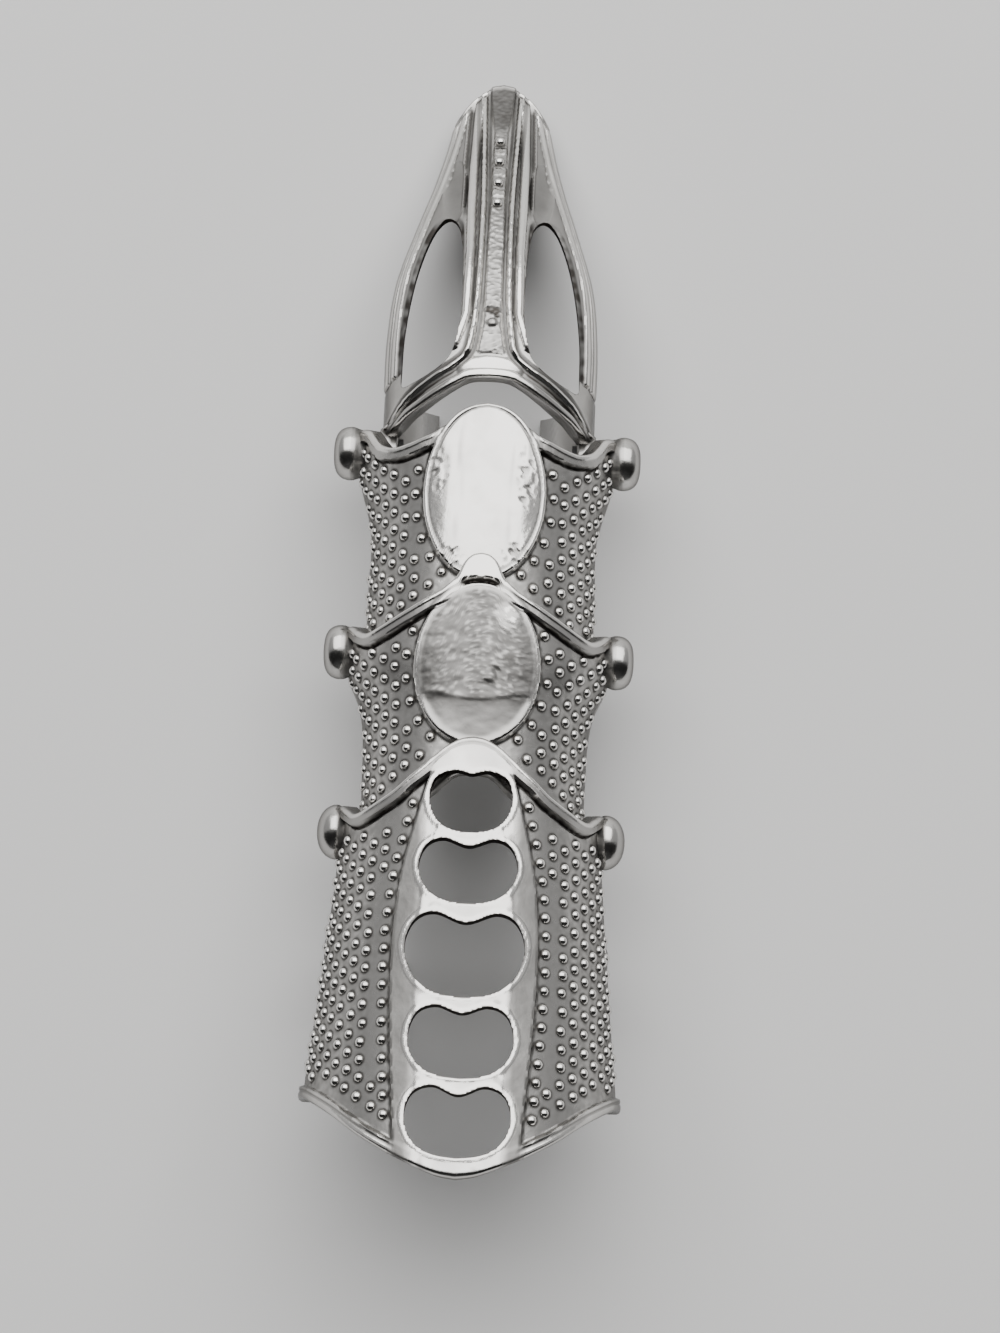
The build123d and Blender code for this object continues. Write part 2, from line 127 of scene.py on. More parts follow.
# in place of BASE_FRONT's last three points, the drawn rim turns forward to the front of the knobs
BASE_RIM_TURN = [(8.7, -15.75), (9.3, -15.15), (9.8, -14.55), (10.8, -14.1)]
BASE_REAR = [(0, -44.5), (1.8, -44.15), (4.6, -42.9), (7.2, -41.3), (9.3, -39.6), (11.3, -38.0),
             (13.5, -36.0)]
LOWER_FRONT = [(0, 4.4), (0.7, 4.2), (1.3, 3.6), (1.75, 2.65), (2.7, 1.63), (4.2, 0.78),
               (5.8, -0.12), (7.3, -0.9), (8.4, -1.25), (9.2, -0.75), (9.8, -0.05), (10.8, 0.4)]
TIP_NOSE = [(0, 49.3), (1.0, 49.05), (1.9, 48.4), (2.7, 47.6), (3.35, 46.7), (4.2, 45.6), (6.0, 44.0),
            (9.5, 41.0)]
UPPER_FRONT = [(0, 16.9), (1.3, 16.65), (2.4, 16.1), (3.3, 15.2), (4.0, 14.6), (4.9, 14.25),
               (5.9, 13.9), (7.0, 13.75), (8.0, 14.2), (8.6, 15.0), (9.3, 16.1), (10.8, 17.0)]
PLATE_REAR = [(0, 3.4), (1.5, 3.2), (3.0, 2.0), (4.6, 0.9), (6.0, 0.0), (7.5, -0.9), (10.5, -1.9)]
TIP_REAR = [(0, 19.35), (1.6, 19.25), (2.8, 18.75), (4.0, 18.1), (5.4, 17.3), (6.5, 16.7), (7.4, 16.1),
            (9.2, 15.6)]
BASE_BAND = [(3.0, -11.2), (3.2, -13.4), (3.65, -15.3), (4.2, -17.6), (4.75, -20.0), (5.1, -22.3),
             (5.35, -25.5), (5.4, -29.0), (5.25, -33.0), (5.0, -37.0), (4.75, -40.4), (4.65, -43.2)]
# kidney holes: half width, x and y of the upper lobes, y of the notch, widest y, lowest y
HOLES = [
    (3.14, 1.25, -13.15, -13.4, -15.3, -18.05), (3.73, 1.90, -18.50, -19.1, -20.6, -23.65),
    (4.50, 2.35, -24.30, -25.1, -26.9, -30.90), (3.95, 1.95, -31.50, -32.1, -34.0, -37.05),
    (3.96, 1.95, -37.60, -38.3, -39.9, -43.00)]
WINDOW = [(3.85, 34.6), (3.0, 33.6), (2.65, 31.5), (2.5, 28.5), (2.55, 24.5), (2.95, 22.2), (3.6, 21.0),
          (4.9, 20.1), (6.1, 19.6), (7.0, 19.6), (7.05, 21.5), (6.95, 24.5), (6.5, 28.0), (5.8, 31.2),
          (4.9, 33.7)]
RIDGE = [(1.5, 48.3), (1.3, 42.0), (1.15, 36.0), (1.15, 31.0), (1.25, 26.2), (1.6, 22.7), (2.05, 21.4),
         (3.1, 20.5), (4.35, 19.8), (5.6, 19.0), (6.65, 18.2), (7.4, 17.3), (8.0, 16.6)]


def smooth_curve(points, count, closed=False):
    """Points on a smooth curve through the given ones, evenly spread by length."""
    p = np.array(points, float)
    n = len(p)
    if closed:
        p = np.vstack([p[-1], p, p[0], p[1]])
        spans = n
    else:
        p = np.vstack([2 * p[0] - p[1], p, 2 * p[-1] - p[-2]])
        spans = n - 1
    out = []
    for k in range(spans):
        a, b, c, d = p[k], p[k + 1], p[k + 2], p[k + 3]
        for t in np.linspace(0, 1, 24, endpoint=False):
            out.append(0.5 * ((2 * b) + (c - a) * t + (2 * a - 5 * b + 4 * c - d) * t ** 2
                              + (3 * b - a - 3 * c + d) * t ** 3))
    out.append(out[0] if closed else p[-2])
    out = np.array(out)
    s = np.r_[0, np.cumsum(np.linalg.norm(np.diff(out, axis=0), axis=1))]
    t = np.linspace(0, s[-1], count + 1 if closed else count)
    t = t[:-1] if closed else t
    return np.stack([np.interp(t, s, out[:, k]) for k in range(p.shape[1])], 1)


def kidney(half, lobe_x, lobe_y, notch_y, wide_y, low_y):
    """Outline of a kidney hole seen from above."""
    right = [(lobe_x, lobe_y), (0.86 * half, lobe_y - 0.25 * (lobe_y - wide_y)), (half, wide_y),
             (0.84 * half, wide_y - 0.58 * (wide_y - low_y)), (0.50 * half, wide_y - 0.90 * (wide_y - low_y))]
    return [(0, notch_y)] + right + [(0, low_y)] + [(-x, y) for x, y in reversed(right)]


class Sections:
    """Half width, crest and widest line of an arched guard at any y."""

    def __init__(self, rows):
        table = smooth_curve(sorted(rows), 400)
        self.y, self.half, self.crest, self.axis = table.T

    def at(self, y):
        return [np.interp(y, self.y, column) for column in (self.half, self.crest, self.axis)]

    def point(self, phi, y, drop, narrow=0.0, sink=0.0):
        """Point at angle phi from the crest, or that much below the widest line."""
        half, crest, axis = self.at(y)
        x = (half - narrow) * np.sin(phi)
        z = axis + (crest - sink - axis) * np.cos(phi) - drop
        return np.stack([x, y, z], -1)


def edge_y(outline, sections, phi, narrow):
    """y of an outline on the arch at each angle."""
    line = smooth_curve(outline, 300)
    y = np.full_like(phi, np.mean(line[:, 1]))
    for _ in range(25):
        half = sections.at(y)[0] - narrow
        y = 0.5 * y + 0.5 * np.interp(np.abs(half * np.sin(phi)), line[:, 0], line[:, 1])
    return y


def line_distance(x, y, line):
    """Distance from each point to a dense line of points, all seen from above."""
    shape = x.shape
    p = np.stack([x.ravel(), y.ravel()], 1)
    best = np.full(len(p), 1e9)
    for start in range(0, len(p), 20000):
        part = p[start:start + 20000]
        d2 = ((part[:, None, :] - line[None, :, :]) ** 2).sum(-1)
        best[start:start + 20000] = np.sqrt(d2.min(1))
    return best.reshape(shape)


def step(value, low, high):
    """0 below low, 1 above high, and smooth between."""
    t = np.clip((value - low) / (high - low), 0, 1)
    return t * t * (3 - 2 * t)


def bump(distance, width):
    """Rounded ridge of the given half width round distance 0."""
    return np.sqrt(np.clip(1 - (distance / width) ** 2, 0, 1))


def spot(p, x, y, radius, across, along):
    """Rounded spot about x, y, stretched across and along the finger."""
    return bump(np.hypot((p[..., 0] - x) / across, (p[..., 1] - y) / along), radius)


def both_spots(p, x, y, radius, across, along):
    """The spot and its mirror image on the other side."""
    return spot(p, x, y, radius, across, along) + spot(p, -x, y, radius, across, along)


def wobble(points, scale, seed):
    """Slow smooth noise at each point, from -1 to 1."""
    flat = points.reshape(-1, 3) / scale
    offset = Vector((seed * 7.3, seed * 3.1, seed * 5.7))
    values = np.array([noise.noise(Vector(p) + offset) for p in flat])
    return values.reshape(points.shape[:-1])


def mesh_object(name, verts, faces, shades=None):
    """Object from points in mm in the tables' frame."""
    v = np.array(verts, float)
    v[:, 1] -= MID_Y
    mesh = bpy.data.meshes.new(name)
    mesh.from_pydata((v * MM).tolist(), [], faces)
    mesh.validate()
    if shades is not None:
        layer = mesh.attributes.new("wear_and_painted_light", "FLOAT", "POINT")
        layer.data.foreach_set("value", np.asarray(shades, np.float32))
    obj = bpy.data.objects.new(name, mesh)
    bpy.context.scene.collection.objects.link(obj)
    return obj


def grid_faces(rows, cols, start=0, flip=False):
    """Squares between the points of a grid, turned over if asked."""
    i, j = np.meshgrid(np.arange(rows - 1), np.arange(cols - 1), indexing="ij")
    a = start + i * cols + j
    quad = np.stack([a, a + 1, a + cols + 1, a + cols], -1).reshape(-1, 4)
    return quad[:, ::-1] if flip else quad


def guard_mesh(name, rows, front, rear, relief):
    """Closed arched wall between two outlines: a fine outside raised by relief, a plain coarse inside."""
    along, around = [int(lines * fine) for lines in GRIDS[name]]
    sections = Sections(rows)
    mean_half = float(np.mean(sections.half))
    arc = math.pi / 2 * mean_half
    v = np.linspace(-1, 1, around) * (arc + SKIRT)
    phi = np.clip(v / mean_half, -math.pi / 2, math.pi / 2)
    drop = np.clip(np.abs(v) - arc, 0, SKIRT)
    y_front = edge_y(front, sections, phi, GROUND_SIDE)
    y_rear = edge_y(rear, sections, phi, GROUND_SIDE)
    t = np.linspace(0, 1, along)[:, None]
    y = y_rear[None, :] + t * (y_front - y_rear)[None, :]
    phi2 = np.broadcast_to(phi, y.shape)
    drop2 = np.broadcast_to(drop, y.shape)
    ground = sections.point(phi2, y, drop2, GROUND_SIDE, GROUND_SINK)
    normal = np.cross(np.gradient(ground, axis=1), np.gradient(ground, axis=0))
    normal /= np.linalg.norm(normal, axis=-1, keepdims=True) + 1e-9
    arc_length = np.r_[0, np.cumsum(np.linalg.norm(np.diff(ground[0], axis=0), axis=1))]
    slope_front = np.gradient(y_front, arc_length)
    slope_rear = np.gradient(y_rear, arc_length)
    d_front = (y_front[None, :] - y) / np.sqrt(1 + slope_front ** 2)[None, :]
    d_rear = (y - y_rear[None, :]) / np.sqrt(1 + slope_rear ** 2)[None, :]
    d_low = np.abs(v[0]) - np.abs(np.broadcast_to(v, y.shape))
    height, wear_and_painted_light = relief(ground, sections.at(y)[0], d_front, d_rear, d_low)
    edge = np.minimum(np.minimum(d_front, d_rear), d_low)
    fall = np.clip(1 - edge / EDGE_ROUND, 0, 1)
    height = height - 0.9 * EDGE_ROUND * (1 - np.sqrt(1 - fall ** 2))
    outer = ground + normal * height[..., None]
    inner = sections.point(phi2, y, drop2, WALL, WALL_CREST)
    n, m = y.shape
    kept_rows = np.unique(np.r_[0:n:INSIDE_STRIDE, n - 1])
    kept_cols = np.unique(np.r_[0:m:INSIDE_STRIDE, m - 1])
    inner = inner[np.ix_(kept_rows, kept_cols)]
    verts = np.vstack([outer.reshape(-1, 3), inner.reshape(-1, 3)])
    outer_index = np.arange(n * m).reshape(n, m)
    inner_index = n * m + np.arange(inner.shape[0] * inner.shape[1]).reshape(inner.shape[:2])
    faces = grid_faces(n, m).tolist() + grid_faces(*inner.shape[:2], n * m, True).tolist()

    def joint(outside, inside, kept):
        """Faces from each stretch of the outside's edge to the inside's coarser edge."""
        for k in range(len(kept) - 1):
            run = outside[kept[k]:kept[k + 1] + 1].tolist()
            faces.append([run[0], int(inside[k]), int(inside[k + 1])] + run[:0:-1])

    def turned(line, kept):
        return line[::-1], (len(line) - 1 - kept)[::-1]

    joint(outer_index[0, :], inner_index[0, :], kept_cols)
    joint(outer_index[:, -1], inner_index[:, -1], kept_rows)
    back, back_kept = turned(outer_index[-1, :], kept_cols)
    joint(back, inner_index[-1, ::-1], back_kept)
    back, back_kept = turned(outer_index[:, 0], kept_rows)
    joint(back, inner_index[::-1, 0], back_kept)
    shades = np.r_[wear_and_painted_light.ravel(), np.full(inner.shape[0] * inner.shape[1], INSIDE_WEAR)]
    return mesh_object(name, verts, faces, shades)


def cut(obj, outlines, low, high):
    """Cuts upright holes with the given outlines through the object."""
    bm = bmesh.new()
    for line in outlines:
        bottom = [bm.verts.new((x * MM, (y - MID_Y) * MM, low * MM)) for x, y in line]
        top = [bm.verts.new((x * MM, (y - MID_Y) * MM, high * MM)) for x, y in line]
        bm.faces.new(bottom[::-1])
        bm.faces.new(top)
        n = len(line)
        for k in range(n):
            bm.faces.new((bottom[k], bottom[(k + 1) % n], top[(k + 1) % n], top[k]))
    bmesh.ops.recalc_face_normals(bm, faces=bm.faces)
    mesh = bpy.data.meshes.new("cutter")
    bm.to_mesh(mesh)
    bm.free()
    cutter = bpy.data.objects.new("cutter", mesh)
    bpy.context.scene.collection.objects.link(cutter)
    mod = obj.modifiers.new("cut", "BOOLEAN")
    mod.operation = "DIFFERENCE"
    mod.solver = "EXACT"
    mod.object = cutter
    apply_modifiers(obj)
    bpy.data.objects.remove(cutter)


def apply_modifiers(obj):
    """Gives the object the mesh that its modifiers make."""
    graph = bpy.context.evaluated_depsgraph_get()
    mesh = bpy.data.meshes.new_from_object(obj.evaluated_get(graph))
    obj.modifiers.clear()
    old = obj.data
    obj.data = mesh
    bpy.data.meshes.remove(old)


def join(objects, name):
    """All the objects as one mesh object."""
    bm = bmesh.new()
    layer = bm.verts.layers.float.new("wear_and_painted_light")
    for o in objects:
        bm.from_mesh(o.data)
    mesh = bpy.data.meshes.new(name)
    bm.to_mesh(mesh)
    bm.free()
    for o in objects:
        bpy.data.objects.remove(o)
    obj = bpy.data.objects.new(name, mesh)
    bpy.context.scene.collection.objects.link(obj)
    return obj


def bead_object(name, spots, rings=6, sides=14):
    """Round beads at spots: point, normal, radius."""
    verts, faces, shades = [], [], []
    for point, normal, radius in spots:
        n = Vector(normal).normalized()
        turn = n.to_track_quat("Z", "Y").to_matrix()
        start = len(verts)
        for r in range(rings):
            polar = math.radians(115) * (r + 1) / rings
            for s in range(sides):
                a = 2 * math.pi * s / sides
                side = math.sin(polar)
                local = Vector((side * math.cos(a), side * math.sin(a), math.cos(polar)))
                verts.append(tuple(Vector(point) + turn @ local * radius))
                # each bead's lower skirt, down where it meets the ground, is painted darker as painted shade
                shades.append(0.95 - 0.55 * step(polar, 0.95, 1.45))
        verts.append(tuple(Vector(point) + n * radius))
        shades.append(1.0)
        top = len(verts) - 1
        for s in range(sides):
            faces.append((top, start + s, start + (s + 1) % sides))
            for r in range(rings - 1):
                a = start + r * sides
                b = a + sides
                faces.append((a + s, b + s, b + (s + 1) % sides, a + (s + 1) % sides))
    return mesh_object(name, verts, faces, shades)


def row_at(rows, y):
    """Half width, crest z and z of the widest line at y, between the rows."""
    table = sorted(rows)
    below = [row for row in table if row[0] <= y][-1]
    above = [row for row in table if row[0] > y][0]
    share = (y - below[0]) / (above[0] - below[0])
    return [low + share * (high - low) for low, high in zip(below[1:], above[1:])]


def height_at(outline, x):
    """y of a half outline at x, between its points."""
    for (x0, y0), (x1, y1) in zip(outline, outline[1:]):
        if x0 <= x <= x1:
            return y0 + (x - x0) / (x1 - x0) * (y1 - y0)
    return outline[-1][1]


def bead_field(rows, y_low, y_high, first_line, allowed):
    """Angle and y of the beads on the right side: a line along the band, then staggered columns."""
    placed = []
    for x, y in first_line:
        half = row_at(rows, y)[0] - GROUND_SIDE
        if x < half and allowed(x, y):
            placed.append((math.asin(x / half), y, half))
    along_band = list(placed)
    columns = int(math.pi / 2 * rows[0][1] / BEAD_STEP) + 3
    count = int((y_high - y_low) / BEAD_PITCH) + 1
    for column in range(columns):
        for row in range(count):
            number = column * count + row
            y = y_low + (row + 0.5 * (column % 2)) * BEAD_PITCH + BEAD_WANDER * math.sin(5.1 * number)
            half = row_at(rows, y)[0] - GROUND_SIDE
            angle = (BEAD_FIRST + column * BEAD_STEP + BEAD_WANDER * math.cos(3.7 * number)) / half
            x = half * math.sin(min(angle, math.pi / 2))
            if angle > BEAD_LAST_ANGLE or not allowed(x, y):
                continue
            if all(math.hypot((angle - a) * half, y - b) > 0.86 * BEAD_STEP for a, b, h in along_band):
                placed.append((angle, y, half))
    return placed


def bead_spots(rows, field):
    """Middle, outward normal and radius of the beads on both sides."""
    sections = Sections(rows)

    def at(p, q):
        return sections.point(np.array(p), np.array(q), 0.0, GROUND_SIDE, GROUND_SINK)

    spots = []
    for number, (angle, y, half) in enumerate(field):
        for sign in (-1, 1):
            here = at(sign * angle, y)
            n = np.cross(at(sign * angle + 0.01, y) - here, at(sign * angle, y + 0.05) - here)
            n /= np.linalg.norm(n)
            size = BEAD_R * (1 + 0.06 * math.sin(2.3 * number + sign))
            spots.append((here - n * BEAD_SUNK, n, size))
    return spots


def oval_line(oval):
    """Points beside the right half of an oval, where its first beads go."""
    middle, half_width, half_length = oval
    count = int(math.pi * (half_width + half_length) / 2 / BEAD_PITCH)
    turns = [math.pi * (k + 0.5) / count for k in range(count)]
    wide, long = half_width + BEAD_GAP, half_length + BEAD_GAP
    return [(wide * math.sin(t), middle + long * math.cos(t)) for t in turns]


def beside_oval(oval, x, y):
    """True far enough outside an oval for a bead."""
    middle, half_width, half_length = oval
    return (x / (half_width + BEAD_GAP)) ** 2 + ((y - middle) / (half_length + BEAD_GAP)) ** 2 > 0.98


def knob_mesh(hinge, sign):
    """Rounded boss on the side of a guard, round the hinge axis, with a slight neck behind its cap."""
    y, z, face, outermost = HINGES[hinge]
    roundness = KNOB_ROUND[hinge]
    inner = face + KNOB_ROOT
    cap = outermost - KNOB_CAP
    # x, share of the radius, tone; the tone is painted shade, darkest in the neck behind the cap and darker
    # towards the sideways-facing outer end
    profile = [(inner, 0.78, 0.45), (inner + 0.2, 0.83, 0.50), (cap - 0.45, 0.90, 0.45),
               (cap - 0.2, 0.93, 0.35), (cap - 0.05, 0.96, 0.40), (cap + 0.1, 0.985, 0.6)]
    for k in range(1, KNOB_RINGS + 1):
        a = k / KNOB_RINGS * math.pi / 2
        grow = max(math.cos(a), 0) ** (1 / roundness)
        out = cap + 0.1 + (KNOB_CAP - 0.1) * math.sin(a) ** (1 / roundness)
        profile.append((out, grow, 0.82 - 0.30 * k / KNOB_RINGS))
    sides = 48
    verts, faces, wear_and_painted_light = [], [], []
    for x, share, shade in profile[:-1]:
        for s in range(sides):
            a = 2 * math.pi * s / sides
            r = KNOB_R * share
            verts.append((sign * x, y + r * math.cos(a), z + r * math.sin(a)))
            wear_and_painted_light.append(shade)
    verts += [(sign * outermost, y, z), (sign * inner, y, z)]
    wear_and_painted_light += [0.52, 0.45]
    rings = len(profile) - 1
    for k in range(rings - 1):
        for s in range(sides):
            a, b = k * sides + s, k * sides + (s + 1) % sides
            faces.append((a, a + sides, b + sides, b) if sign < 0 else (a, b, b + sides, a + sides))
    tip, back = len(verts) - 2, len(verts) - 1
    for s in range(sides):
        a, b = (rings - 1) * sides + s, (rings - 1) * sides + (s + 1) % sides
        faces.append((a, tip, b) if sign < 0 else (a, b, tip))
        faces.append((s, (s + 1) % sides, back) if sign < 0 else ((s + 1) % sides, s, back))
    return mesh_object("knob", verts, faces, wear_and_painted_light)


def ear_mesh(hinge, sign):
    """Round ear of the inner guard about a hinge axis, with a bore for the rivet."""
    y, z, outer, outermost = HINGES[hinge]
    inner = outer - EAR_WALL
    sides = 40
    ring = [(inner, EAR_R - EAR_SOFT), (inner + EAR_SOFT, EAR_R), (outer - EAR_SOFT, EAR_R),
            (outer, EAR_R - EAR_SOFT), (outer, BORE_R), (inner, BORE_R)]
    verts, faces = [], []
    n = len(ring)
    for s in range(sides):
        a = 2 * math.pi * s / sides
        for x, r in ring:
            verts.append((sign * x, y + r * math.cos(a), z + r * math.sin(a)))
    for s in range(sides):
        t = (s + 1) % sides
        for k in range(n):
            m = (k + 1) % n
            face4 = (s * n + k, s * n + m, t * n + m, t * n + k)
            faces.append(face4 if sign < 0 else face4[::-1])
    return mesh_object("ear", verts, faces, [0.6] * len(verts))


def band_mesh(y_front, width, center_z, outer_radius, thickness, open_half):
    """Open band under the finger with rounded edges and flat feet."""
    ends = math.asin(open_half / outer_radius)
    angles = np.linspace(math.pi / 2 - 0.02, math.pi - ends, 40)
    soft = 0.28
    shape = [(0, 0), (0, thickness - soft), (soft * 0.3, thickness - soft * 0.3), (soft, thickness),
             (width - soft, thickness), (width - soft * 0.3, thickness - soft * 0.3),
             (width, thickness - soft), (width, 0)]
    objects = []
    for sign in (-1, 1):
        verts, faces = [], []
        for a in angles:
            tuck = 0.32 * max(0, 1 - (a - angles[0]) / 0.16)
            for along, out in shape:
                r = outer_radius - thickness + out - tuck
                x, z = sign * r * math.sin(a), center_z + r * math.cos(a)
                verts.append((x, y_front - along, max(z, 0.0)))
        n = len(shape)
        for k in range(len(angles) - 1):
            for s in range(n):
                t = (s + 1) % n
                quad = (k * n + s, k * n + t, (k + 1) * n + t, (k + 1) * n + s)
                faces.append(quad if sign < 0 else quad[::-1])
        first, last = tuple(range(n)), tuple(range((len(angles) - 1) * n, len(angles) * n))
        faces.append(first[::-1] if sign < 0 else first)
        faces.append(last if sign < 0 else last[::-1])
        objects.append(mesh_object("band", verts, faces, [0.7] * len(verts)))
    return objects


def within(d, width, soft=0.12):
    """1 up to that distance from an edge, then 0."""
    return 1 - step(d, width - soft, width + soft)


def rim_shape(d, width, fade):
    """Height and tone of a front rim: thin raised edge line, flat body, crease behind it, the crease darkened
    as painted shade.
    """
    line = bump(d - 0.24, 0.26)
    crease = bump(d - width - 0.10, 0.13)
    body = within(d, width) * (1 - line)
    return fade * (0.07 * line - 0.09 * crease), fade * (0.10 * line - 0.24 * body - 0.55 * crease)


def oval_distance(x, y, a, b, middle):
    """About how far inside an oval each point is."""
    r = np.sqrt((x / a) ** 2 + ((y - middle) / b) ** 2) + 1e-6
    slope = np.sqrt((x / a ** 2) ** 2 + ((y - middle) / b ** 2) ** 2) / r
    return (1 - r) / (slope + 1e-6)


band_line = smooth_curve([(y, x) for x, y in reversed(BASE_BAND)], 200)
hole_lines = [smooth_curve(kidney(*h), 200, True) for h in HOLES]
window_lines = [smooth_curve([(s * x, y) for x, y in WINDOW], 200, True) for s in (-1, 1)]


def band_half(y):
    """Half width of the base's raised band at y."""
    return height_at([(row_y, half) for half, row_y in reversed(BASE_BAND)], y)


def base_allowed(x, y):
    """True where the base guard has beads, and so on for the two plates."""
    rear_limit = height_at(BASE_REAR, x) + BEAD_EDGE_GAP
    front_limit = height_at(BASE_FRONT, x) - BEAD_EDGE_GAP
    return x > band_half(y) + 0.9 * BEAD_GAP and rear_limit < y < front_limit


def lower_allowed(x, y):
    rear_limit = height_at(BASE_FRONT, x) + BEAD_COVER_GAP
    front_limit = height_at(LOWER_FRONT, x) - BEAD_EDGE_GAP
    return rear_limit < y < front_limit and beside_oval(LOWER_OVAL, x, y)


def upper_allowed(x, y):
    rear_limit = height_at(LOWER_FRONT, x) + BEAD_COVER_GAP
    front_limit = height_at(UPPER_FRONT, x) - BEAD_EDGE_GAP
    return rear_limit < y < front_limit and beside_oval(UPPER_OVAL, x, y)


line_count = int((BAND_LINE_START - BASE_BAND[-1][1]) / BEAD_PITCH)
band_line_y = [BAND_LINE_START - number * BEAD_PITCH for number in range(line_count + 1)]
band_spots = [(band_half(y) + BEAD_GAP, y) for y in band_line_y]
base_beads = bead_spots(BASE_ROWS, bead_field(BASE_ROWS, -44.0, -14.0, band_spots, base_allowed))
lower_beads = bead_spots(LOWER_ROWS, bead_field(LOWER_ROWS, -16.4, 4.0, oval_line(LOWER_OVAL), lower_allowed))
upper_beads = bead_spots(UPPER_ROWS, bead_field(UPPER_ROWS, -2.6, 17.0, oval_line(UPPER_OVAL), upper_allowed))


def bead_feet(p, spots):
    """How near each point is to a bead's feet, from 0 to 1: the mask of the shade painted on the ground round
    each bead.
    """
    tree = kdtree.KDTree(len(spots))
    for number, (middle, normal, radius) in enumerate(spots):
        tree.insert(Vector(middle), number)
    tree.balance()
    d = np.array([tree.find(Vector(q))[2] for q in p.reshape(-1, 3)]).reshape(p.shape[:-1])
    return 1 - step(d, BEAD_R * 1.02, BEAD_R * 1.55)


def base_relief(p, half, d_front, d_rear, d_low):
    """Height over the sunk ground and tone of the base guard: band, hole edges, rims, sunk sides."""
    x, y = p[..., 0], p[..., 1]
    ax = np.abs(x)
    d_band = np.interp(y, band_line[:, 0], band_line[:, 1]) - ax
    band = step(d_band, -0.16, 0.16)
    front_rim = within(d_front, RIM)
    rear_rim = within(d_rear, 1.0)
    on = np.maximum(np.maximum(band, front_rim), rear_rim)
    near = np.full(x.shape, 9.0)
    part = ax < 7
    for line in hole_lines:
        near[part] = np.minimum(near[part], line_distance(x[part], y[part], line))
    beside_lip = step(ax, 2.7, 3.3)
    behind_lip = step(-y, 14.0, 15.5)
    height = GROUND_SINK * on
    height -= 0.05 * bump(d_band - 1.0, 0.9) * (1 - front_rim) * (1 - rear_rim) * behind_lip
    height += 0.05 * np.exp(-((near - 0.16) / 0.13) ** 2)
    rim_height, rim_tone_and_crease_shade = rim_shape(d_front, RIM, beside_lip)
    lip_line = bump(d_front - 0.52, 0.14) * (1 - beside_lip)
    rear_groove = bump(d_rear - 0.62, 0.13) * step(ax, 4.2, 5.2)
    height += rim_height - 0.06 * lip_line - 0.10 * rear_groove
    height += 0.10 * bump(d_low - 0.3, 0.4) * (1 - on)
    height += 0.014 * wobble(p, 1.6, 1) + 0.008 * wobble(p, 0.5, 31)
    ground = (1 - on) * step(d_low, 0.3, 0.8)
    # the ground round each bead's feet is darkened as painted shade
    foot_shade = bead_feet(p, base_beads)
    mottle = ground * (1 - foot_shade) * np.clip(1.6 * wobble(p, 0.45, 71), -0.6, 1)
    wear_and_painted_light = 0.84 - 0.30 * ground - 0.38 * foot_shade * ground + 0.16 * mottle + rim_tone_and_crease_shade
    # the lip's groove and the rear groove are darkened as painted shade
    wear_and_painted_light -= 0.30 * lip_line + 0.35 * rear_groove
    hole_edge = np.exp(-((near - 0.12) / 0.16) ** 2)
    specks = np.clip(2.2 * wobble(p, 0.7, 51) - 0.5, 0, 1) * step(ax, 0.8, 1.6)
    # the band's sides are darkened as painted shade, giving the flat band a hollowed look; the holes' edges
    # are made lighter
    flank = step(ax, 3.0, 3.9) * step(near, 0.25, 0.5)
    wear_and_painted_light += band * (0.16 * hole_edge - behind_lip * (0.50 * flank + 0.22 * specks * (1 - flank)))
    # a dark line where the band's edge meets the sunk ground, painted shade
    wear_and_painted_light -= 0.28 * bump(d_band + 0.16, 0.14) * behind_lip
    return height, wear_and_painted_light


